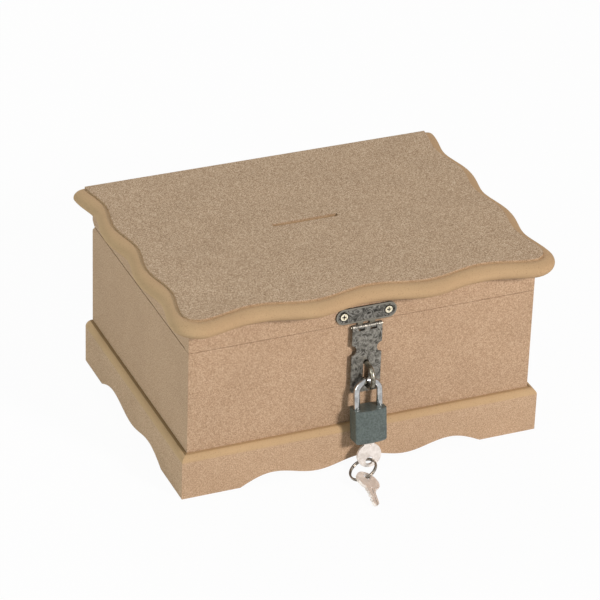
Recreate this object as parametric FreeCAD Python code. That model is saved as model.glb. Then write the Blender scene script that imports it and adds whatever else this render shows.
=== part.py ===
import FreeCAD, Part
import math
import os

from FreeCAD import Placement, Rotation, Vector

# Money box of MDF with a hinged, moulded lid, a hasp and staple, a padlock and keys.
# Millimetres, +Z up, front towards -Y. The origin is on the floor under the middle of the walls.

# Walls
body_width = 203.5
body_depth = 151.5
wall = 6.0
wall_foot = 10.0
bottom_board = 4.0
seam_height = 88.3
front_seam = 0.3
side_seam = 0.7
left, right = -body_width / 2, body_width / 2
front, back = -body_depth / 2, body_depth / 2

# Plinth boards, with a rounded top edge and a scalloped lower edge
plinth_board = 4.35
plinth_square = 23.0
plinth_height = 26.3
scallop_high = 6.2
scallop_low = 1.6
front_scallop_pitch = 53.0
front_foot_inner = 72.0
side_scallop_pitch = 57.0
side_foot_inner = 48.0

# Lid: a board with a wavy, bullnose edge on three sides and a rim that continues the walls
total_height = 113.5
lid_board = 10.4
lid_under = total_height - lid_board
front_edge, front_wave, front_pitch = 81.3, 2.9, 66.4
left_edge, left_drift = 104.1, 0.006
right_edge, right_drift = 101.9, -0.014
side_wave, side_pitch, side_crest = 1.9, 51.0, -76.0
corner_radius = 9.0
nose_start, nose_depth = 0.6, 6.1
quirk = 1.3
coin_slot_length, coin_slot_width = 39.0, 3.0
coin_slot_x, coin_slot_y = -4.5, -1.4

# Back hinges: barrels sit in a bevelled groove along the seam
groove = 3.2
hinge_axis_y = back - 0.8
barrel_radius = 1.6
hinge_pin_radius = 0.7
leaf = 0.8
leaf_near, leaf_far = 2.2, 9.9
hinge_length = 25.0
hinge_places = (-62.0, 62.0)
hinge_screw_offset = 8.0

# Hasp and staple
hasp_x = 0.6
hasp_plate_length, hasp_plate_height, hasp_sheet = 35.5, 9.4, 1.0
hasp_plate_z = 93.8
hasp_rim, hasp_recess = 0.9, 0.25
hasp_screw_ring, hasp_screw_recess = 2.75, 0.5
hasp_screw_offset = 13.15
hasp_pin_y, hasp_pin_z = front - 1.6, 86.6
hasp_knuckle, hasp_pin_radius = 1.5, 0.75
strap_width, strap_bottom, strap_corner = 17.6, 46.0, 2.5
strap_notch_z, strap_notch_height, strap_notch_depth = 72.9, 6.6, 2.8
strap_slot_width, strap_slot_low, strap_slot_high = 3.4, 49.8, 66.2
staple_wire = 1.4
staple_low, staple_high = 51.5, 64.2
staple_bend_y = front - 6.75

# Padlock, hung from the staple and leaning out over the plinth
padlock_lean = 7.5
shackle_wire, shackle_half = 1.8, 6.75
shackle_apex_y = front - 6.25
shackle_apex_z = staple_low + staple_wire + shackle_wire + 0.05
case_top, case_height = -16.0, 20.3
case_width, case_thickness, case_bulge = 18.6, 11.0, 1.2
case_edge, case_corner = 1.0, 2.2
toe_end, heel_end, heel_bore_end = -20.1, -25.0, -30.5
bolt_low, bolt_high, bolt_bite = -18.0, -16.8, 0.8
bolt_play, bolt_half, bolt_tail, bolt_channel_end = 1.4, 1.3, 1.2, 4.4
plug_radius, plug_length, tail_radius = 3.5, 13.5, 1.5
pin_radius, pin_chamber_end, driver_length = 0.8, -8.3, 1.84
pin_heights = (3.0, 6.3, 9.6)
pin_cuts = (0.6, 1.2, 0.9)

# Springs in the lock: radius of the turns, radius of the wire
pin_coil, shackle_coil, bolt_coil = (0.55, 0.12), (1.1, 0.2), (0.45, 0.1)
spring_turns = 6

# Keys and ring
bow_radius, bow_hole, bow_hole_offset = 7.1, 2.25, 3.3
key_sheet = 1.5
key_shoulder, key_tip = 8.6, 21.1
neck_width, blade_width = 6.0, 4.6
ring_radius, ring_wire, ring_turn = 7.7, 0.55, 0.45
ring_centre = Vector(-4.8, -92.72, 4.69)
ring_normal = Vector(-0.471, 0.029, 0.882)
spare_hole = Vector(-5.97, -100.2, 4.28)
spare_direction = Vector(-0.193, -0.976, -0.099)
spare_normal = Vector(0.423, -0.174, 0.889)

X, Y, Z = Vector(1, 0, 0), Vector(0, 1, 0), Vector(0, 0, 1)
os.makedirs("parts", exist_ok=True)


def save(node, shape):
    shape.exportStep("parts/%s.step" % node)


def block(x0, x1, y0, y1, z0, z1):
    return Part.makeBox(x1 - x0, y1 - y0, z1 - z0, Vector(x0, y0, z0))


def rod(radius, start, end):
    return Part.makeCylinder(radius, (end - start).Length, start, end - start)


def prism(points, direction):
    """A flat polygon pushed along a direction."""
    return Part.Face(Part.makePolygon(points + points[:1])).extrude(direction)


def along_wire(radius, edges):
    """A round wire that follows a path of straight runs and arcs."""
    path = Part.Wire(edges)
    first = edges[0]
    start, tangent = first.valueAt(first.FirstParameter), first.tangentAt(first.FirstParameter)
    section = Part.Wire(Part.makeCircle(radius, start, tangent))
    return path.makePipeShell([section], True, False)


def line(a, b):
    return Part.LineSegment(a, b).toShape()


def arc(a, middle, b):
    return Part.Arc(a, middle, b).toShape()


def spline(points):
    curve = Part.BSplineCurve()
    curve.interpolate(points)
    return curve.toShape()


def coil(radius, wire, length, turns):
    """A spring along +Z from the origin."""
    helix = Part.makeHelix(length / turns, length, radius)
    section = Part.Wire(Part.makeCircle(wire, Vector(radius, 0, 0), Y))
    return Part.Wire(helix.Edges).makePipeShell([section], True, True)


def spread(low, high, count):
    return [low + (high - low) * i / (count - 1) for i in range(count)]


def screw(head_radius, shank_radius, head_depth, length):
    """A countersunk cross-head screw at the origin, its head facing -Y and its point towards +Y."""
    head = Part.makeCone(head_radius, shank_radius, head_depth, Vector(0, 0, 0), Y)
    point_length, point_tip = 1.2, 0.25
    point_start = Vector(0, length - point_length, 0)
    shank = rod(shank_radius, Vector(0, head_depth, 0), point_start)
    point = Part.makeCone(shank_radius, point_tip, point_length, point_start, Y)
    body = head.fuse(shank).fuse(point).removeSplitter()
    slot, slot_half = head_radius * 0.62, head_radius * 0.16
    for size_x, size_z in ((slot, slot_half), (slot_half, slot)):
        body = body.cut(block(-size_x, size_x, -0.1, head_depth * 0.6, -size_z, size_z))
    return body


def screw_seat(head_radius, shank_radius, head_depth, length):
    """The countersunk hole that a screw like the one above fills, with a little room."""
    room = 0.04
    head = Part.makeCone(head_radius + room, shank_radius + room, head_depth, Vector(0, 0, 0), Y)
    return head.fuse(rod(shank_radius + room, Vector(0, 0, 0), Vector(0, length + 0.2, 0)))


def facing_back(shape, x, y, z):
    """Turns a screw or its seat to face +Y and puts its head at a place on the back."""
    turned = shape.copy()
    turned.rotate(Vector(0, 0, 0), Z, 180)
    turned.translate(Vector(x, y, z))
    return turned


def moved(shape, x, y, z):
    return shape.translated(Vector(x, y, z))


# Screws of the hinges and of the hasp
hinge_screw = (1.7, 0.9, leaf, 5.4)
hasp_screw = (2.1, 1.1, hasp_sheet, 6.2)
hinge_rows = {1: seam_height + 6.4, -1: seam_height - 6.4}


def hinge_spots(side):
    """Screw places on the back: side 1 is the lid's leaf and side -1 the box's."""
    shifts = (-hinge_screw_offset, hinge_screw_offset)
    return [(x + s, back + leaf, hinge_rows[side]) for x in hinge_places for s in shifts]


def hasp_spots():
    return [(hasp_x + s, front - hasp_sheet, hasp_plate_z) for s in (-hasp_screw_offset, hasp_screw_offset)]


def without_hinge_screws(shape, side):
    for place in hinge_spots(side):
        shape = shape.cut(facing_back(screw_seat(*hinge_screw), *place))
    return shape


def staple_path():
    """From the upper bent-over prong inside the box, round the loop in front, to the lower one."""
    inner, bend = front + wall + staple_wire + 0.25, 2.0
    loop = (staple_high - staple_low) / 2
    middle = (staple_high + staple_low) / 2
    tuck = bend * math.sin(math.radians(45))
    prong = 7.0

    def at(y, z):
        return Vector(hasp_x, y, z)

    corner = inner - bend
    return [
        line(at(inner, staple_high + prong), at(inner, staple_high + bend)),
        arc(
            at(inner, staple_high + bend),
            at(corner + tuck, staple_high + bend - tuck),
            at(corner, staple_high),
        ),
        line(at(corner, staple_high), at(staple_bend_y, staple_high)),
        arc(at(staple_bend_y, staple_high), at(staple_bend_y - loop, middle), at(staple_bend_y, staple_low)),
        line(at(staple_bend_y, staple_low), at(corner, staple_low)),
        arc(
            at(corner, staple_low),
            at(corner + tuck, staple_low - bend + tuck),
            at(inner, staple_low - bend),
        ),
        line(at(inner, staple_low - bend), at(inner, staple_low - prong)),
    ]


def make_walls():
    top = seam_height - front_seam / 2
    front_panel = block(left, right, front, front + wall, wall_foot, top)
    for z in (staple_low, staple_high):
        hole = rod(staple_wire + 0.3, Vector(hasp_x, front - 1, z), Vector(hasp_x, front + wall + 1, z))
        front_panel = front_panel.cut(hole)
    save("front_panel", front_panel)

    back_panel = block(left, right, back - wall, back, wall_foot, top)
    bevel = [
        Vector(left - 1, back - groove, seam_height),
        Vector(left - 1, back + 1, seam_height),
        Vector(left - 1, back + 1, seam_height - groove - 1),
    ]
    back_panel = back_panel.cut(prism(bevel, Vector(body_width + 2, 0, 0)))
    save("back_panel", without_hinge_screws(back_panel, -1))

    inner_front, inner_back = front + wall, back - wall
    save("left_panel", block(left, left + wall, inner_front, inner_back, wall_foot, top))
    save("right_panel", block(right - wall, right, inner_front, inner_back, wall_foot, top))
    bottom_top = wall_foot + bottom_board
    save("bottom_panel", block(left + wall, right - wall, inner_front, inner_back, wall_foot, bottom_top))


def scallop_height(place, pitch, foot_inner, crown):
    """Height of the scalloped edge: waves between the outer crowns, then a curve down to the foot."""
    distance = abs(place)
    mean, wave = (scallop_high + scallop_low) / 2, (scallop_high - scallop_low) / 2
    if distance <= crown:
        return mean + wave * math.cos(2 * math.pi * (crown - distance) / pitch)
    return scallop_high * math.cos(math.pi / 2 * (distance - crown) / (foot_inner - crown))


def scallop_cutter(pitch, foot_inner, crown):
    """The space under a scalloped edge, in the XZ plane, pushed along +Y."""
    places = spread(-foot_inner, foot_inner, 49)
    curve = [Vector(p, 0, scallop_height(p, pitch, foot_inner, crown)) for p in places]
    low_left, low_right = Vector(-foot_inner, 0, -1), Vector(foot_inner, 0, -1)
    edges = [spline(curve), line(curve[-1], low_right), line(low_right, low_left), line(low_left, curve[0])]
    return Part.Face(Part.Wire(edges)).extrude(Vector(0, 4 * plinth_board, 0))


def plinth_strip(length):
    """A board along +X whose inner face is on y = 0 and whose moulded face looks towards -Y."""
    turn = math.radians(45)
    shoulder, crest = Vector(0, -plinth_board, plinth_square), Vector(0, -0.3, plinth_height)
    middle = Vector(
        0,
        -0.3 - (plinth_board - 0.3) * math.cos(turn),
        plinth_square + (plinth_height - plinth_square) * math.sin(turn),
    )
    inner_top, inner_foot = Vector(0, 0, plinth_height), Vector(0, 0, 0)
    outer_foot = Vector(0, -plinth_board, 0)
    edges = [
        line(inner_foot, outer_foot),
        line(outer_foot, shoulder),
        arc(shoulder, middle, crest),
        line(crest, inner_top),
        line(inner_top, inner_foot),
    ]
    return Part.Face(Part.Wire(edges)).extrude(Vector(length, 0, 0))


def make_plinth():
    reach = plinth_board + 1
    front_board = moved(plinth_strip(body_width + 2 * reach), left - reach, front, 0)
    mitre = [
        Vector(left, front, -1),
        Vector(right, front, -1),
        Vector(right + reach, front - reach, -1),
        Vector(left - reach, front - reach, -1),
    ]
    front_board = front_board.common(prism(mitre, Vector(0, 0, plinth_height + 2)))
    cutter = scallop_cutter(front_scallop_pitch, front_foot_inner, front_scallop_pitch)
    save("plinth_front", front_board.cut(moved(cutter, 0, front - 3 * plinth_board, 0)))

    cutter = scallop_cutter(side_scallop_pitch, side_foot_inner, side_scallop_pitch / 2)
    side_board = plinth_strip(body_depth + reach)
    side_board.rotate(Vector(0, 0, 0), Z, -90)
    side_board.translate(Vector(left, back, 0))
    corner = [
        Vector(left, front, -1),
        Vector(left - reach, front - reach, -1),
        Vector(left - reach, back, -1),
        Vector(left, back, -1),
    ]
    side_board = side_board.common(prism(corner, Vector(0, 0, plinth_height + 2)))
    cutter.rotate(Vector(0, 0, 0), Z, 90)
    side_board = side_board.cut(moved(cutter, left + plinth_board, 0, 0))
    save("plinth_left", side_board)
    save("plinth_right", side_board.mirror(Vector(0, 0, 0), X))


def side_reach(y, edge, drift):
    """How far a side edge of the lid is from the middle, without an offset."""
    return edge + drift * y + side_wave * math.cos(2 * math.pi * (y - side_crest) / side_pitch)


def side_curve(y, offset, side, edge, drift):
    """A point of the lid's left edge (side -1) or right edge (side 1), moved outwards by an offset."""
    phase = 2 * math.pi * (y - side_crest) / side_pitch
    slope = drift - side_wave * 2 * math.pi / side_pitch * math.sin(phase)
    scale = offset / math.hypot(1, slope)
    return Vector(side * (side_reach(y, edge, drift) + scale), y - slope * scale, 0)


def front_curve(x, offset):
    """A point of the lid's front edge, moved outwards by an offset."""
    phase = 2 * math.pi * x / front_pitch
    slope = front_wave * 2 * math.pi / front_pitch * math.sin(phase)
    scale = offset / math.hypot(1, slope)
    return Vector(x + slope * scale, -(front_edge - front_wave * math.cos(phase)) - scale, 0)


def lid_outline(offset, z):
    """The lid's outline at one level, run out past the back, where it is cut off square."""
    corner_y = -(front_edge + front_wave - corner_radius)
    left_x = corner_radius - side_reach(corner_y, left_edge, left_drift)
    right_x = side_reach(corner_y, right_edge, right_drift) - corner_radius
    depths = spread(back + 8, corner_y, 34)
    lefts = [side_curve(y, offset, -1, left_edge, left_drift) for y in depths]
    fronts = [front_curve(x, offset) for x in spread(left_x, right_x, 49)]
    rights = [side_curve(y, offset, 1, right_edge, right_drift) for y in reversed(depths)]
    bend = (corner_radius + offset) * math.sin(math.radians(45))
    edges = [
        spline(lefts),
        arc(lefts[-1], Vector(left_x - bend, corner_y - bend, 0), fronts[0]),
        spline(fronts),
        arc(fronts[-1], Vector(right_x + bend, corner_y - bend, 0), rights[0]),
        spline(rights),
        line(rights[-1], lefts[0]),
    ]
    return Part.Wire(edges).translated(Vector(0, 0, z))


def make_lid():
    nose_top = total_height - quirk
    half = (nose_top - lid_under) / 2
    turns = [math.radians(a) for a in spread(-90, 90, 11)]
    middle = lid_under + half
    levels = [lid_outline(nose_start + nose_depth * math.cos(t), middle + half * math.sin(t)) for t in turns]
    board = Part.makeLoft(levels, True, False)
    plateau = Part.Face(lid_outline(0, nose_top)).extrude(Vector(0, 0, quirk))
    board = board.fuse(plateau)
    board = board.cut(block(-body_width, body_width, back, back + body_depth, 0, 2 * total_height))
    slot = block(
        coin_slot_x - coin_slot_length / 2,
        coin_slot_x + coin_slot_length / 2,
        coin_slot_y - coin_slot_width / 2,
        coin_slot_y + coin_slot_width / 2,
        lid_under - 1,
        total_height + 1,
    )
    save("lid_top", board.cut(slot))

    low = seam_height + front_seam / 2
    rim_front = block(left, right, front, front + wall, low, lid_under)
    for place in hasp_spots():
        rim_front = rim_front.cut(moved(screw_seat(*hasp_screw), *place))
    save("lid_rim_front", rim_front)
    low = seam_height - front_seam / 2 + side_seam
    rim_back = block(left, right, back - wall, back, low, lid_under)
    bevel = [
        Vector(left - 1, back - groove, seam_height),
        Vector(left - 1, back + 1, seam_height),
        Vector(left - 1, back + 1, seam_height + groove + 1),
    ]
    rim_back = rim_back.cut(prism(bevel, Vector(body_width + 2, 0, 0)))
    save("lid_rim_back", without_hinge_screws(rim_back, 1))
    save("lid_rim_left", block(left, left + wall, front + wall, back - wall, low, lid_under))
    save("lid_rim_right", block(right - wall, right, front + wall, back - wall, low, lid_under))


def hinge_leaf(x, side):
    """One leaf of a back hinge with its knuckles: the lid's holds the middle one, the box's the outer two."""
    gap = 0.15
    third = hinge_length / 3
    z0, z1 = sorted((seam_height + side * leaf_near, seam_height + side * leaf_far))
    plate = block(x - hinge_length / 2, x + hinge_length / 2, back, back + leaf, z0, z1)
    spans = [(-third / 2 + gap, third / 2 - gap)]
    if side < 0:
        spans = [(-hinge_length / 2, -third / 2), (third / 2, hinge_length / 2)]
    for start, end in spans:
        tab_low, tab_high = sorted((seam_height, seam_height + side * (leaf_near + 0.1)))
        knuckle = rod(
            barrel_radius,
            Vector(x + start, hinge_axis_y, seam_height),
            Vector(x + end, hinge_axis_y, seam_height),
        )
        plate = plate.fuse(knuckle).fuse(block(x + start, x + end, back, back + leaf, tab_low, tab_high))
    bore = rod(
        hinge_pin_radius + 0.05,
        Vector(x - hinge_length, hinge_axis_y, seam_height),
        Vector(x + hinge_length, hinge_axis_y, seam_height),
    )
    return without_hinge_screws(plate.removeSplitter().cut(bore), side)


def make_hinges():
    for name, x in zip(("left", "right"), hinge_places):
        save("hinge_%s_box_leaf" % name, hinge_leaf(x, -1))
        save("hinge_%s_lid_leaf" % name, hinge_leaf(x, 1))
        pin = rod(
            hinge_pin_radius,
            Vector(x - hinge_length / 2, hinge_axis_y, seam_height),
            Vector(x + hinge_length / 2, hinge_axis_y, seam_height),
        )
        save("hinge_%s_pin" % name, pin)
    for node, side in (("hinge_screws_box", -1), ("hinge_screws_lid", 1)):
        screws = [facing_back(screw(*hinge_screw), *place) for place in hinge_spots(side)]
        save(node, Part.makeCompound(screws))


def obround(length, height, thickness):
    """A plate with round ends in the XZ plane, its middle at the origin, thick towards +Y."""
    radius = height / 2
    run = length / 2 - radius
    plate = block(-run, run, 0, thickness, -radius, radius)
    for x in (-run, run):
        plate = plate.fuse(rod(radius, Vector(x, 0, 0), Vector(x, thickness, 0)))
    return plate.removeSplitter()


def hasp_knuckles(numbers):
    """Knuckles of the hasp's hinge, counted from 0 to 4 from the left."""
    step, gap = strap_width / 5, 0.12
    start = hasp_x - strap_width / 2
    return [(start + n * step + gap, start + (n + 1) * step - gap) for n in numbers]


def make_hasp():
    pin_line = [Vector(hasp_x + s * strap_width, hasp_pin_y, hasp_pin_z) for s in (-1, 1)]
    bore = rod(hasp_pin_radius + 0.05, *pin_line)
    plate = moved(
        obround(hasp_plate_length, hasp_plate_height, hasp_sheet), hasp_x, front - hasp_sheet, hasp_plate_z
    )
    tab_back, tab_top = front - 0.25, hasp_plate_z - hasp_plate_height / 2 + 2
    for start, end in hasp_knuckles((1, 3)):
        tab = block(start, end, front - hasp_sheet, tab_back, hasp_pin_z, tab_top)
        knuckle = rod(
            hasp_knuckle, Vector(start, hasp_pin_y, hasp_pin_z), Vector(end, hasp_pin_y, hasp_pin_z)
        )
        plate = plate.fuse(tab).fuse(knuckle)
    plate = plate.removeSplitter().cut(bore)
    inside = obround(hasp_plate_length - 2 * hasp_rim, hasp_plate_height - 2 * hasp_rim, hasp_recess)
    plate = plate.cut(moved(inside, hasp_x, front - hasp_sheet, hasp_plate_z))
    ring = rod(hasp_screw_ring, Vector(0, 0, 0), Vector(0, hasp_screw_recess, 0))
    for place in hasp_spots():
        plate = plate.cut(moved(ring, *place)).cut(moved(screw_seat(*hasp_screw), *place))
    save("hasp_plate", plate)
    save("hasp_screws", Part.makeCompound([moved(screw(*hasp_screw), *place) for place in hasp_spots()]))
    pin_ends = [Vector(hasp_x + s * (strap_width / 2 + 0.6), hasp_pin_y, hasp_pin_z) for s in (-1, 1)]
    save("hasp_pin", rod(hasp_pin_radius, *pin_ends))

    outer, inner = hasp_pin_y - hasp_knuckle, hasp_pin_y - hasp_knuckle + hasp_sheet
    half = strap_width / 2
    strap = block(hasp_x - half, hasp_x + half, outer, inner, strap_bottom, hasp_pin_z - hasp_knuckle - 0.35)
    upright = [edge for edge in strap.Edges if abs(edge.CenterOfMass.z - strap_bottom) < 0.01]
    corners = [edge for edge in upright if abs(abs(edge.CenterOfMass.x - hasp_x) - half) < 0.01]
    strap = strap.makeFillet(strap_corner, corners)
    for side in (-1, 1):
        notch = obround(2 * strap_notch_depth + strap_notch_height, strap_notch_height, hasp_sheet + 2)
        reach = half + strap_notch_height / 2
        strap = strap.cut(moved(notch, hasp_x + side * reach, outer - 1, strap_notch_z))
    slot_length = strap_slot_high - strap_slot_low
    slot = obround(slot_length, strap_slot_width, hasp_sheet + 2)
    slot.rotate(Vector(0, 0, 0), Y, 90)
    strap = strap.cut(moved(slot, hasp_x, outer - 1, (strap_slot_high + strap_slot_low) / 2))
    for start, end in hasp_knuckles((0, 2, 4)):
        knuckle = rod(
            hasp_knuckle, Vector(start, hasp_pin_y, hasp_pin_z), Vector(end, hasp_pin_y, hasp_pin_z)
        )
        tab = block(start, end, outer, inner, hasp_pin_z - hasp_knuckle - 1, hasp_pin_z)
        strap = strap.fuse(knuckle).fuse(tab)
    save("hasp_strap", strap.removeSplitter().cut(bore))
    save("staple", along_wire(staple_wire, staple_path()))


def hung(shape):
    """Puts a piece drawn about the shackle's apex in its place on the staple."""
    placed = shape.copy()
    lean = Placement(Vector(0, 0, 0), Rotation(X, -padlock_lean))
    place = Placement(Vector(hasp_x, shackle_apex_y, shackle_apex_z), Rotation())
    placed.transformShape((place.multiply(lean)).toMatrix(), True)
    return placed


def padlock_case():
    low = case_top - case_height
    half, deep, flat = case_width / 2, case_thickness / 2, case_thickness / 2 - case_bulge
    edges = [
        arc(Vector(-half, -flat, low), Vector(0, -deep, low), Vector(half, -flat, low)),
        line(Vector(half, -flat, low), Vector(half, flat, low)),
        arc(Vector(half, flat, low), Vector(0, deep, low), Vector(-half, flat, low)),
        line(Vector(-half, flat, low), Vector(-half, -flat, low)),
    ]
    case = Part.Face(Part.Wire(edges)).extrude(Vector(0, 0, case_height))
    uprights = [e for e in case.Edges if abs(e.CenterOfMass.z - (low + case_top) / 2) < 0.01]
    case = case.makeFillet(case_edge, uprights)
    sides = [e for e in case.Edges if abs(e.CenterOfMass.y) < 0.01 and abs(e.CenterOfMass.z - low) < 0.01]
    case = case.makeFillet(case_corner, [e for e in sides if abs(abs(e.CenterOfMass.x) - half) < 0.01])

    bore = shackle_wire + 0.1
    for x, end in ((-shackle_half, toe_end - 0.3), (shackle_half, heel_bore_end)):
        case = case.cut(rod(bore, Vector(x, 0, case_top + 1), Vector(x, 0, end)))
    plug_top = low + plug_length
    case = case.cut(rod(plug_radius + 0.05, Vector(0, 0, low - 1), Vector(0, 0, plug_top + 0.1)))
    room = 0.1
    case = case.cut(rod(tail_radius + room, Vector(0, 0, plug_top), Vector(0, 0, bolt_low)))
    wide, floor, roof = bolt_half + room, bolt_low - room, bolt_high + room
    case = case.cut(block(-shackle_half, bolt_channel_end, -wide, wide, floor, roof))
    for height in pin_heights:
        z = low + height
        case = case.cut(rod(pin_radius + 0.05, Vector(pin_chamber_end, 0, z), Vector(0, 0, z)))
    return case


def shackle():
    leg = shackle_half
    centre = -shackle_half
    edges = [
        line(Vector(-leg, 0, toe_end), Vector(-leg, 0, centre)),
        arc(Vector(-leg, 0, centre), Vector(0, 0, 0), Vector(leg, 0, centre)),
        line(Vector(leg, 0, centre), Vector(leg, 0, heel_end)),
    ]
    bar = along_wire(shackle_wire, edges)
    inner = -leg + shackle_wire
    notch = block(inner - bolt_bite - 0.1, inner + 1, -3, 3, bolt_low - bolt_play, bolt_high + 0.1)
    return bar.cut(notch)


def locking_bolt():
    nose = -shackle_half + shackle_wire - bolt_bite
    bolt = block(nose, bolt_tail, -bolt_half, bolt_half, bolt_low, bolt_high)
    wedge = [
        Vector(nose - 0.1, -bolt_half - 1, bolt_low - 0.1),
        Vector(nose + 0.5, -bolt_half - 1, bolt_low - 0.1),
        Vector(nose - 0.1, -bolt_half - 1, bolt_low + 0.5),
    ]
    return bolt.cut(prism(wedge, Vector(0, 2 * bolt_half + 2, 0)))


def lock_plug():
    low = case_top - case_height
    plug = rod(plug_radius, Vector(0, 0, low), Vector(0, 0, low + plug_length))
    tail = rod(tail_radius, Vector(0, 0, low + plug_length), Vector(0, 0, bolt_low - 0.3))
    plug = plug.fuse(tail)
    half, reach = key_sheet / 2 + 0.1, blade_width / 2 + 0.15
    plug = plug.cut(block(-reach, reach, -half, half, low - 1, low + plug_length - 0.5))
    for height in pin_heights:
        z = low + height
        plug = plug.cut(rod(pin_radius + 0.05, Vector(-plug_radius - 1, 0, z), Vector(0, 0, z)))
    return plug


def key():
    """A key with its bow's middle at the origin and its blade along +Z, flat in the XZ plane."""
    half = key_sheet / 2
    bow = rod(bow_radius, Vector(0, -half, 0), Vector(0, half, 0))
    neck = block(-neck_width / 2, neck_width / 2, -half, half, 4.0, key_shoulder)
    blade_half = blade_width / 2
    blade_end = key_tip - 2.0
    blade_points = [
        Vector(-blade_half, -half, key_shoulder - 1),
        Vector(blade_half, -half, key_shoulder - 1),
        Vector(blade_half, -half, blade_end),
        Vector(blade_half - 1.4, -half, key_tip),
        Vector(-blade_half + 1.6, -half, key_tip),
        Vector(-blade_half, -half, blade_end),
    ]
    shape = bow.fuse(neck).fuse(prism(blade_points, Vector(0, key_sheet, 0))).removeSplitter()
    shape = shape.cut(rod(bow_hole, Vector(0, -2, -bow_hole_offset), Vector(0, 2, -bow_hole_offset)))
    for height, cut in zip(pin_heights, pin_cuts):
        z, flat = key_shoulder + height, pin_radius + 0.15
        notch = [
            Vector(-blade_half + cut, -2, z - flat),
            Vector(-blade_half + cut, -2, z + flat),
            Vector(-blade_half - 0.1, -2, z + flat + cut * 0.6),
            Vector(-blade_half - 0.1, -2, z - flat - cut * 0.6),
        ]
        shape = shape.cut(prism(notch, Vector(0, 4, 0)))
    for y0, y1 in ((-half - 1, -half + 0.4), (half - 0.4, half + 1)):
        shape = shape.cut(block(0.2, 1.2, y0, y1, key_shoulder - 3, key_tip + 1))
    return shape


def make_padlock():
    low = case_top - case_height
    save("padlock_case", hung(padlock_case()))
    save("shackle", hung(shackle()))
    save("locking_bolt", hung(locking_bolt()))
    save("lock_plug", hung(lock_plug()))

    shear, driver_start = -plug_radius + 0.1, -plug_radius - 0.06
    driver_end, spring_end = driver_start - driver_length, pin_chamber_end + 0.1
    key_pins, driver_pins, pin_springs = [], [], []
    for height, cut in zip(pin_heights, pin_cuts):
        z = low + height
        bitting = -blade_width / 2 + cut - 0.05
        key_pins.append(hung(rod(pin_radius, Vector(bitting, 0, z), Vector(shear, 0, z))))
        driver_pins.append(hung(rod(pin_radius, Vector(driver_start, 0, z), Vector(driver_end, 0, z))))
        spring = coil(*pin_coil, driver_end - spring_end - 0.5, spring_turns)
        spring.rotate(Vector(0, 0, 0), Y, -90)
        pin_springs.append(hung(moved(spring, driver_end - 0.2, 0, z)))
    save("key_pins", Part.makeCompound(key_pins))
    save("driver_pins", Part.makeCompound(driver_pins))
    save("pin_springs", Part.makeCompound(pin_springs))

    shackle_spring = coil(*shackle_coil, heel_end - heel_bore_end - 0.6, spring_turns)
    save("shackle_spring", hung(moved(shackle_spring, shackle_half, 0, heel_bore_end + 0.3)))
    bolt_spring = coil(*bolt_coil, bolt_channel_end - bolt_tail - 0.5, spring_turns)
    bolt_spring.rotate(Vector(0, 0, 0), Y, 90)
    save("bolt_spring", hung(moved(bolt_spring, bolt_tail + 0.25, 0, (bolt_low + bolt_high) / 2)))


def make_keys():
    low = case_top - case_height
    save("key_in_lock", hung(moved(key(), 0, 0, low - key_shoulder)))

    turn = Rotation(Z, ring_normal)
    turns = [Part.makeTorus(ring_radius, ring_wire, Vector(0, 0, s * ring_turn), Z) for s in (-1, 1)]
    ring = turns[0].fuse(turns[1]).removeSplitter()
    ring.transformShape(Placement(ring_centre, turn).toMatrix(), True)
    save("key_ring", ring)

    across = spare_normal.cross(spare_direction)
    axes = Rotation(across, spare_normal, spare_direction, "ZXY")
    spare = moved(key(), 0, 0, bow_hole_offset)
    spare.transformShape(Placement(spare_hole, axes).toMatrix(), True)
    save("spare_key", spare)


make_walls()
make_plinth()
make_lid()
make_hinges()
make_hasp()
make_padlock()
make_keys()
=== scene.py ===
"""Looks of the money box: raw fibreboard, antique hasp, padlock and keys, on a white studio floor."""

import math

import bpy
from mathutils import Matrix, Vector


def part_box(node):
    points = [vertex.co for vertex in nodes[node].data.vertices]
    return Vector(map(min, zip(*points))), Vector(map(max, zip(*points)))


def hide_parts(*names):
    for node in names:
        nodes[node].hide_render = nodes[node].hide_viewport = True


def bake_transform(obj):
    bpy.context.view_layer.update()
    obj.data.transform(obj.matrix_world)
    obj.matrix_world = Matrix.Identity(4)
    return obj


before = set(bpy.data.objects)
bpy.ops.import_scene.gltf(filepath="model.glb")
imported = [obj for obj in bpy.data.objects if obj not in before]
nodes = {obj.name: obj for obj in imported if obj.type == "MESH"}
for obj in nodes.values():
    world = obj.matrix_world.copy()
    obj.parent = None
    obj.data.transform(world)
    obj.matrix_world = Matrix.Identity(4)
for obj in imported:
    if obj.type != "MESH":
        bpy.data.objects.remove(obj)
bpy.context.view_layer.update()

# Camera that took the photograph, in metres and degrees
CAMERA_PLACE = (-0.6598, -1.4981, 1.0010)
CAMERA_AZIMUTH, CAMERA_ELEVATION, CAMERA_ROLL = -23.596, 29.881, 1.981
SENSOR_MM = 36.0
FOCAL_PX, FRAME_PX = 3360.1, 600
CLIP_START, CLIP_END = 0.1, 20

# Heights of the machined edges and of the hollows beside them; the whole plinth takes painted light, and the
# hollows and the lid's top face take painted shade
PLINTH_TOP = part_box("plinth_front")[1][2]
LID_UNDER, LID_TOP = (corner[2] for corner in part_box("lid_top"))
PLINTH_BOARD = (-0.01, PLINTH_TOP + 0.01)
PLINTH_MOULDING = (PLINTH_TOP - 0.0042, PLINTH_TOP + 0.01)
PLINTH_HOLLOW = (PLINTH_TOP - 0.0002, PLINTH_TOP + 0.01)
LID_MOULDING = (LID_UNDER + 0.0002, LID_TOP - 0.0016)
LID_HOLLOW = (LID_TOP - 0.0013, LID_TOP - 0.0002)
LID_FACE = (LID_TOP - 0.0002, LID_TOP + 0.01)
EDGE_BLEND, MOULDING_BLEND = 0.00005, 0.0014
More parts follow.
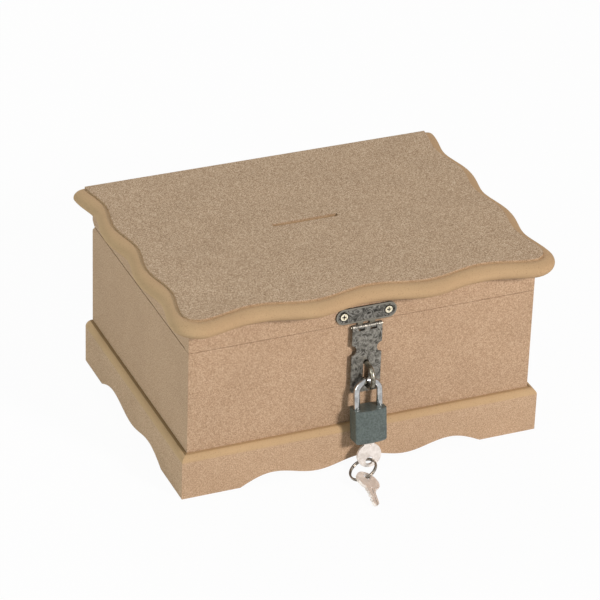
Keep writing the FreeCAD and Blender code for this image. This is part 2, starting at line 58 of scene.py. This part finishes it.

# Depths, from the front, of the hasp plate's rim, of its screws' seats and of the screws' crosses; the seats
# and the crosses get painted shade
PLATE_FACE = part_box("hasp_screws")[0][1]
RIM_SPAN = (PLATE_FACE - 0.001, PLATE_FACE + 0.0001)
SEAT_SPAN = (PLATE_FACE + 0.0003, PLATE_FACE + 0.00095)
CROSS_SPAN = (PLATE_FACE + 0.00015, PLATE_FACE + 0.01)

# Grain of the board: waves per metre, where fibres turn dark and pale, flecks, gloss and depth
CLOUD_SCALE, FIBRE_SCALE, FLECK_SCALE = 45, 1750, 1500
FIBRE_STOPS, MOULDING_STOPS = (0.36, 0.5, 0.64), (0.3, 0.46, 1.0)
DARK_FLECKS, PALE_FLECKS = (0.32, 0.42, 0.6, 0.0), (0.61, 0.70, 0.0, 0.5)
BOARD_CONTRAST, LID_CONTRAST = 0.75, 1.4
BOARD_ROUGHNESS, BOARD_SPECULAR = (0.78, 0.95), 0.25
GRAIN_DEPTH, GRAIN_STRENGTH = 0.00012, 0.5
FLECK_SHARE, MOULDING_HEIGHTS = 0.6, (0.4, 0.7)

# Where most of a noise's values lie
NOISE_SPAN = (0.3, 0.7)

# Surface of the metals: scratches, the curls pressed into the hasp, gloss and tarnish
SCRATCH_SCALE, SCRATCH_STRETCH, SCRATCH_SHARE = 2600, (1.0, 1.0, 0.08), 0.25
CURL_SCALE, CURL_BAND, CURL_RIDGE, CURL_WEAR = 130, 0.1, 0.035, 0.55
PRESSED_DEPTH, PRESSED_SWIRL = 0.00012, 0.28
METAL_STRENGTH, SMOOTHER, ROUGHER = 0.6, 0.07, 0.1
TARNISH_SPAN = (0.38, 0.62)

# Colours, as seen in even light (sRGB, 0 to 255)
BOARD_COLOUR, BOARD_DARK, BOARD_PALE = (188, 157, 128), (146, 116, 88), (215, 189, 162)
MOULDING_COLOUR, MOULDING_DARK = (190, 159, 122), (165, 134, 97)
PEWTER_COLOUR, PEWTER_DARK, PEWTER_WORN = (141, 137, 128), (76, 73, 67), (176, 172, 164)
PLATE_COLOUR, PLATE_DARK, PLATE_RIM = (122, 119, 112), (56, 54, 50), (134, 130, 120)
# Painted shade in the screw seats and in the screws' cross recesses
RECESS_PAINTED_SHADE = (46, 42, 34)
STAPLE_COLOUR, STAPLE_DARK = (150, 145, 132), (84, 79, 68)
CASE_COLOUR, CASE_DARK = (98, 108, 105), (76, 85, 82)
NICKEL_COLOUR, NICKEL_DARK = (240, 232, 226), (222, 213, 205)
RING_COLOUR, RING_DARK = (168, 160, 150), (92, 84, 74)
CHROME_COLOUR, CHROME_DARK = (198, 198, 197), (164, 164, 164)
STEEL_COLOUR, STEEL_DARK = (176, 174, 168), (120, 116, 108)
BRASS_COLOUR, BRASS_DARK = (226, 204, 150), (160, 130, 80)
SCREW_COLOUR, SCREW_DARK = (254, 249, 230), (222, 208, 172)

# Tones that multiply the board's colour: a random cloudiness, painted light over the plinth, painted shade in
# the hollows at the plinth's top (darker on its sides than at its front) and in the lid's hollow, and painted
# shade on the lid's top face
CLOUD_TONE, PLAIN_TONE = (0.93, 0.925, 0.92, 1), (1.0, 1.0, 1.0, 1)
# Painted light over the whole plinth
PLINTH_PAINTED_LIGHT = (1.07, 1.08, 1.08, 1)
# Painted shade in the hollow at the plinth's top, deeper on the sides than at the front
FRONT_HOLLOW_PAINTED_SHADE, SIDE_HOLLOW_PAINTED_SHADE = (0.8, 0.77, 0.72, 1), (0.52, 0.5, 0.44, 1)
# Painted shade in the lid's hollow and on the lid's top face
LID_HOLLOW_PAINTED_SHADE, LID_FACE_PAINTED_SHADE = (0.91, 0.9, 0.87, 1), (0.95, 0.995, 1.005, 1)

# Light: the sky, the share of the floor's look that is plain white, and the lamps
SKY_STRENGTH, FLOOR_WHITE, FLOOR_COLOUR = 0.12, 0.96, (0.7, 0.7, 0.7, 1)
FLOOR_WIDTH, FLOOR_ROUGHNESS = 6.0, 0.9
LAMP_AIM = (0, 0, 0.06)
KEY_PLACE, KEY_SIZE, KEY_POWER, KEY_TINT = (0.66, -1.58, 0.98), 0.3, 29.5, (1.0, 0.95, 0.92)
FILL_PLACE, FILL_SIZE, FILL_POWER, FILL_TINT = (-1.55, -0.2, 0.7), 1.0, 13.5, (0.91, 1.0, 0.97)
BACK_PLACE, BACK_SIZE, BACK_POWER, BACK_TINT = (0.1, 1.3, 1.1), 0.8, 11, (1.0, 0.97, 0.95)


def linear(colour):
    """An sRGB colour as the linear RGBA that a shader takes."""
    values = [c / 255 for c in colour]
    lit = [v / 12.92 if v <= 0.04045 else ((v + 0.055) / 1.055) ** 2.4 for v in values]
    return (*lit, 1.0)


class Shader:
    """A material whose nodes are added one at a time and read the piece's own coordinates."""

    def __init__(self, name):
        self.material = bpy.data.materials.new(name)
        self.material.use_nodes = True
        self.tree = self.material.node_tree
        self.surface = self.tree.nodes["Principled BSDF"]
        self.places = self.add("ShaderNodeTexCoord").outputs["Object"]

    def add(self, kind, **settings):
        node = self.tree.nodes.new(kind)
        for key, value in settings.items():
            setattr(node, key, value)
        return node

    def join(self, source, target):
        self.tree.links.new(source, target)

    def stretch(self, scale):
        mapping = self.add("ShaderNodeMapping")
        mapping.inputs["Scale"].default_value = scale
        self.join(self.places, mapping.inputs["Vector"])
        return mapping.outputs["Vector"]

    def noise(self, scale, detail=3.0, stretch=(1, 1, 1), roughness=0.5, distortion=0.0):
        node = self.add("ShaderNodeTexNoise")
        node.inputs["Scale"].default_value = scale
        node.inputs["Detail"].default_value = detail
        node.inputs["Roughness"].default_value = roughness
        node.inputs["Distortion"].default_value = distortion
        self.join(self.stretch(stretch), node.inputs["Vector"])
        return node.outputs["Fac"]

    def ramp(self, source, stops):
        node = self.add("ShaderNodeValToRGB")
        ends = node.color_ramp.elements
        for place, _ in stops[1:-1]:
            ends.new(place)
        for element, (place, colour) in zip(ends, stops):
            element.position = place
            element.color = colour
        self.join(source, node.inputs["Fac"])
        return node.outputs["Color"]

    def level(self, source, low, high, bottom=0.0, top=1.0):
        """A value whose span from low to high becomes bottom to top."""
        node = self.add("ShaderNodeMapRange", clamp=True)
        for name, value in zip(("From Min", "From Max", "To Min", "To Max"), (low, high, bottom, top)):
            node.inputs[name].default_value = value
        self.join(source, node.inputs["Value"])
        return node.outputs["Result"]

    def mix(self, factor, first, second, blend="MIX"):
        node = self.add("ShaderNodeMix", data_type="RGBA", blend_type=blend)
        self.join(factor, node.inputs["Factor"])
        for socket, colour in zip(node.inputs[6:8], (first, second)):
            if isinstance(colour, tuple):
                socket.default_value = colour
            else:
                self.join(colour, socket)
        return node.outputs[2]

    def add_values(self, first, second, second_share):
        node = self.add("ShaderNodeMath", operation="MULTIPLY_ADD")
        self.join(second, node.inputs[0])
        node.inputs[1].default_value = second_share
        self.join(first, node.inputs[2])
        return node.outputs[0]

    def bump(self, height, depth, strength):
        node = self.add("ShaderNodeBump")
        node.inputs["Distance"].default_value = depth
        node.inputs["Strength"].default_value = strength
        self.join(height, node.inputs["Height"])
        self.join(node.outputs["Normal"], self.surface.inputs["Normal"])

    def between(self, low, high, axis="Z", blend=EDGE_BLEND):
        """1 between two places along an axis of the piece and 0 outside them."""
        place = self.add("ShaderNodeSeparateXYZ")
        self.join(self.places, place.inputs[0])
        inside = self.add("ShaderNodeMath", operation="MULTIPLY")
        self.join(self.level(place.outputs[axis], low, low + blend), inside.inputs[0])
        self.join(self.level(place.outputs[axis], high, high + blend, 1.0, 0.0), inside.inputs[1])
        return inside.outputs[0]

    def set(self, **values):
        for name, value in values.items():
            self.surface.inputs[name.replace("_", " ")].default_value = value


def fibreboard(name, contrast, moulding=None, painted_tones=()):
    """Raw fibreboard: short fibres and flecks over a faint cloudiness.

    Between the heights of a moulding it is smoother, yellower and has fewer flecks. Each tone is a
    span of heights and a colour that multiplies it there, as painted light on the plinth and painted shade in
    hollows and on the lid's top face."""
    shader = Shader(name)
    cloud = shader.level(shader.noise(CLOUD_SCALE, 4), *NOISE_SPAN)
    fibre = shader.noise(FIBRE_SCALE, 4, roughness=0.65, distortion=0.6)
    fleck = shader.noise(FLECK_SCALE, 2, roughness=0.6)
    plain, dark, pale = (
        linear([p + contrast * (c - p) for p, c in zip(BOARD_COLOUR, colour)])
        for colour in (BOARD_COLOUR, BOARD_DARK, BOARD_PALE))
    colour = shader.ramp(fibre, list(zip(FIBRE_STOPS, (dark, plain, pale))))
    colour = shader.mix(shader.level(fleck, *DARK_FLECKS), colour, dark)
    colour = shader.mix(shader.level(fleck, *PALE_FLECKS), colour, pale)
    height = shader.add_values(fibre, fleck, FLECK_SHARE)
    if moulding:
        machined = shader.between(*moulding, blend=MOULDING_BLEND)
        plain, dark = linear(MOULDING_COLOUR), linear(MOULDING_DARK)
        smooth = shader.ramp(fibre, list(zip(MOULDING_STOPS, (dark, plain, plain))))
        colour = shader.mix(machined, colour, smooth)
        height = shader.mix(machined, height, shader.level(fibre, 0, 1, *MOULDING_HEIGHTS))
    shade = shader.ramp(cloud, [(0.0, CLOUD_TONE), (1.0, PLAIN_TONE)])
    # Painted light and painted shade multiply the colour over their spans of heights
    for span, tone in painted_tones:
        shade = shader.mix(shader.between(*span), shade, tone, "MULTIPLY")
    multiply = shader.add("ShaderNodeMix", data_type="RGBA", blend_type="MULTIPLY")
    multiply.inputs["Factor"].default_value = 1.0
    shader.join(colour, multiply.inputs[6])
    shader.join(shade, multiply.inputs[7])
    shader.join(multiply.outputs[2], shader.surface.inputs["Base Color"])
    shader.join(shader.level(fibre, *NOISE_SPAN, *BOARD_ROUGHNESS), shader.surface.inputs["Roughness"])
    shader.set(Specular_IOR_Level=BOARD_SPECULAR)
    shader.bump(height, GRAIN_DEPTH, GRAIN_STRENGTH)
    return shader.material


def old_metal(name, bright, dark, roughness, mottle_scale, depth, swirl=0.0, metallic=1.0, spans=()):
    """Metal with tarnish in its hollows, fine scratches and, on embossed sheet, soft swirls.

    Each span gives two depths along Y and the colour painted between them, such as a paler rim and painted
    shade in recesses."""
    shader = Shader(name)
    mottle = shader.noise(mottle_scale, 4, roughness=0.6)
    scratch = shader.noise(SCRATCH_SCALE, 2, stretch=SCRATCH_STRETCH)
    height = mottle
    colour = shader.mix(shader.level(mottle, *TARNISH_SPAN), linear(dark), linear(bright))
    if swirl:
        curls = shader.noise(CURL_SCALE, 0.6, distortion=1.6)
        bands = shader.add("ShaderNodeMath", operation="PINGPONG")
        shader.join(curls, bands.inputs[0])
        bands.inputs[1].default_value = CURL_BAND
        ridges = shader.level(bands.outputs[0], 0.0, CURL_RIDGE, 1.0, 0.0)
        height = shader.add_values(mottle, ridges, swirl)
        colour = shader.mix(shader.level(ridges, 0.0, 1.0, 0.0, CURL_WEAR), colour, linear(PEWTER_WORN))
    # Colours painted between two depths, painted shade in recesses among them
    for span, tone in spans:
        colour = shader.mix(shader.between(*span, axis="Y"), colour, linear(tone))
    shader.join(colour, shader.surface.inputs["Base Color"])
    shader.join(shader.level(scratch, *NOISE_SPAN, roughness - SMOOTHER, roughness + ROUGHER),
                shader.surface.inputs["Roughness"])
    shader.set(Metallic=metallic)
    shader.bump(shader.add_values(height, scratch, SCRATCH_SHARE), depth, METAL_STRENGTH)
    return shader.material


board = fibreboard("raw_board", BOARD_CONTRAST)
# The plinth boards get painted light over the whole plinth and painted shade in the hollow at its top, deeper
# on the sides than at the front
front_plinth_painted_light_and_shade = fibreboard("front_plinth_board", BOARD_CONTRAST, PLINTH_MOULDING,
                          [(PLINTH_BOARD, PLINTH_PAINTED_LIGHT), (PLINTH_HOLLOW, FRONT_HOLLOW_PAINTED_SHADE)])
side_plinth_painted_light_and_shade = fibreboard("side_plinth_board", BOARD_CONTRAST, PLINTH_MOULDING,
                         [(PLINTH_BOARD, PLINTH_PAINTED_LIGHT), (PLINTH_HOLLOW, SIDE_HOLLOW_PAINTED_SHADE)])
# The lid gets painted shade in the hollow by its nose and on its top face
lid_board_painted_shade = fibreboard("lid_board_painted_shade", LID_CONTRAST, LID_MOULDING,
                       [(LID_HOLLOW, LID_HOLLOW_PAINTED_SHADE), (LID_FACE, LID_FACE_PAINTED_SHADE)])
pewter = old_metal("antique_pewter", PEWTER_COLOUR, PEWTER_DARK, roughness=0.45, mottle_scale=420,
                   depth=PRESSED_DEPTH, swirl=PRESSED_SWIRL, metallic=0.85)
# The screw seats in the hasp plate get painted shade
pewter_plate = old_metal("antique_plate", PLATE_COLOUR, PLATE_DARK, roughness=0.45, mottle_scale=420,
                         depth=PRESSED_DEPTH, swirl=PRESSED_SWIRL, metallic=0.85,
                         spans=[(RIM_SPAN, PLATE_RIM), (SEAT_SPAN, RECESS_PAINTED_SHADE)])
dull_nickel = old_metal("dull_nickel", STAPLE_COLOUR, STAPLE_DARK, roughness=0.3, mottle_scale=500,
                        depth=0.00003)
enamel = old_metal("padlock_enamel", CASE_COLOUR, CASE_DARK, roughness=0.38, mottle_scale=900,
                   depth=0.00004, metallic=0.25)
chrome = old_metal("shackle_chrome", CHROME_COLOUR, CHROME_DARK, roughness=0.16, mottle_scale=250,
                   depth=0.000002)
nickel = old_metal("key_nickel", NICKEL_COLOUR, NICKEL_DARK, roughness=0.38, mottle_scale=500,
                   depth=0.000003, metallic=0.5)
ring_steel = old_metal("ring_steel", RING_COLOUR, RING_DARK, roughness=0.25, mottle_scale=500,
                       depth=0.00001)
steel = old_metal("plated_steel", STEEL_COLOUR, STEEL_DARK, roughness=0.35, mottle_scale=800,
                  depth=0.00004)
brass = old_metal("bright_brass", BRASS_COLOUR, BRASS_DARK, roughness=0.3, mottle_scale=900,
                  depth=0.00003)
# The screws' cross recesses get painted shade
screw_plating = old_metal("screw_plating", SCREW_COLOUR, SCREW_DARK, roughness=0.4, mottle_scale=900,
                          depth=0.00001, metallic=0.6, spans=[(CROSS_SPAN, RECESS_PAINTED_SHADE)])

LOOKS = {
    board: ["front_panel", "back_panel", "left_panel", "right_panel", "bottom_panel", "lid_rim_front",
            "lid_rim_back", "lid_rim_left", "lid_rim_right"],
    front_plinth_painted_light_and_shade: ["plinth_front"],
    side_plinth_painted_light_and_shade: ["plinth_left", "plinth_right"],
    lid_board_painted_shade: ["lid_top"],
    pewter: ["hasp_strap"],
    pewter_plate: ["hasp_plate"],
    dull_nickel: ["staple", "hasp_pin"],
    enamel: ["padlock_case"],
    chrome: ["shackle"],
    nickel: ["key_in_lock", "spare_key"],
    ring_steel: ["key_ring"],
    brass: ["lock_plug", "driver_pins", "key_pins"],
    screw_plating: ["hasp_screws"],
    steel: ["hinge_left_box_leaf", "hinge_left_lid_leaf", "hinge_left_pin", "hinge_right_box_leaf",
            "hinge_right_lid_leaf", "hinge_right_pin", "hinge_screws_box", "hinge_screws_lid", "locking_bolt",
            "bolt_spring", "shackle_spring", "pin_springs"],
}


def paint(node, material):
    mesh = nodes[node].data
    mesh.materials.clear()
    mesh.materials.append(material)


for material, names in LOOKS.items():
    for name in names:
        paint(name, material)


def stretch_spring(node, pushed, axis):
    """Hide a spring and put a plain copy of its mesh in its place; its fixed end and the end next to what it
    pushes are worked out but not used.
    """
    low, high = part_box(node)
    middle = sum(corner[axis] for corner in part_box(pushed)) / 2
    near, far = sorted((low[axis], high[axis]), key=lambda place: abs(place - middle))
    start, end = low.copy(), low.copy()
    start[axis], end[axis] = far, near
    coil = bpy.data.objects.new(node + "_coil", nodes[node].data.copy())
    bpy.context.collection.objects.link(coil)
    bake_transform(coil)
    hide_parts(node)


stretch_spring("bolt_spring", "locking_bolt", 0)
stretch_spring("shackle_spring", "shackle", 2)


def place_camera():
    azimuth, elevation, roll = map(math.radians, (CAMERA_AZIMUTH, CAMERA_ELEVATION, CAMERA_ROLL))
    back = Vector((
        math.sin(azimuth) * math.cos(elevation),
        -math.cos(azimuth) * math.cos(elevation),
        math.sin(elevation),
    ))
    right = Vector((0, 0, 1)).cross(back).normalized()
    up = back.cross(right)
    rolled_right = math.cos(roll) * right + math.sin(roll) * up
    rolled_up = math.cos(roll) * up - math.sin(roll) * right
    data = bpy.data.cameras.new("camera")
    data.sensor_width = SENSOR_MM
    data.lens = SENSOR_MM * FOCAL_PX / FRAME_PX
    data.clip_start, data.clip_end = CLIP_START, CLIP_END
    camera = bpy.data.objects.new("camera", data)
    turn = Matrix((rolled_right, rolled_up, back)).transposed().to_4x4()
    camera.matrix_world = Matrix.Translation(CAMERA_PLACE) @ turn
    bpy.context.collection.objects.link(camera)
    bpy.context.scene.camera = camera


def lamp(name, place, size, power, tint):
    data = bpy.data.lights.new(name, "AREA")
    data.size = size
    data.energy = power
    data.color = tint
    light = bpy.data.objects.new(name, data)
    light.location = place
    light.rotation_mode = "QUATERNION"
    light.rotation_quaternion = (Vector(LAMP_AIM) - Vector(place)).to_track_quat("-Z", "Y")
    bpy.context.collection.objects.link(light)


def seen_white(tree, lit, share):
    """White for the camera and in reflections, by a share, over the given shader for all other light."""
    path = tree.nodes.new("ShaderNodeLightPath")
    white = tree.nodes.new("ShaderNodeEmission")
    chosen = tree.nodes.new("ShaderNodeMixShader")
    seen = path.outputs["Is Camera Ray"]
    for ray in ("Is Glossy Ray", "Is Transmission Ray"):
        either = tree.nodes.new("ShaderNodeMath")
        either.operation = "MAXIMUM"
        tree.links.new(seen, either.inputs[0])
        tree.links.new(path.outputs[ray], either.inputs[1])
        seen = either.outputs[0]
    weight = tree.nodes.new("ShaderNodeMath")
    weight.operation = "MULTIPLY"
    weight.inputs[1].default_value = share
    tree.links.new(seen, weight.inputs[0])
    tree.links.new(weight.outputs[0], chosen.inputs["Fac"])
    tree.links.new(lit, chosen.inputs[1])
    tree.links.new(white.outputs[0], chosen.inputs[2])
    return chosen.outputs[0]


def studio():
    world = bpy.data.worlds.new("studio")
    world.use_nodes = True
    sky = world.node_tree.nodes["Background"]
    sky.inputs["Color"].default_value = (1, 1, 1, 1)
    sky.inputs["Strength"].default_value = SKY_STRENGTH
    out = world.node_tree.nodes["World Output"]
    world.node_tree.links.new(seen_white(world.node_tree, sky.outputs[0], 1.0), out.inputs["Surface"])
    bpy.context.scene.world = world

    half = FLOOR_WIDTH / 2
    mesh = bpy.data.meshes.new("floor")
    corners = [(x, y, 0.0) for x, y in ((-half, -half), (half, -half), (half, half), (-half, half))]
    mesh.from_pydata(corners, [], [(0, 1, 2, 3)])
    floor = bpy.data.objects.new("floor", mesh)
    material = bpy.data.materials.new("pale_floor")
    material.use_nodes = True
    tree = material.node_tree
    tree.nodes["Principled BSDF"].inputs["Base Color"].default_value = FLOOR_COLOUR
    tree.nodes["Principled BSDF"].inputs["Roughness"].default_value = FLOOR_ROUGHNESS
    lit = seen_white(tree, tree.nodes["Principled BSDF"].outputs[0], FLOOR_WHITE)
    tree.links.new(lit, tree.nodes["Material Output"].inputs["Surface"])
    mesh.materials.append(material)
    bpy.context.collection.objects.link(floor)

    lamp("key", KEY_PLACE, KEY_SIZE, KEY_POWER, KEY_TINT)
    lamp("fill", FILL_PLACE, FILL_SIZE, FILL_POWER, FILL_TINT)
    lamp("back", BACK_PLACE, BACK_SIZE, BACK_POWER, BACK_TINT)


place_camera()
studio()
bpy.context.scene.view_settings.view_transform = "Standard"
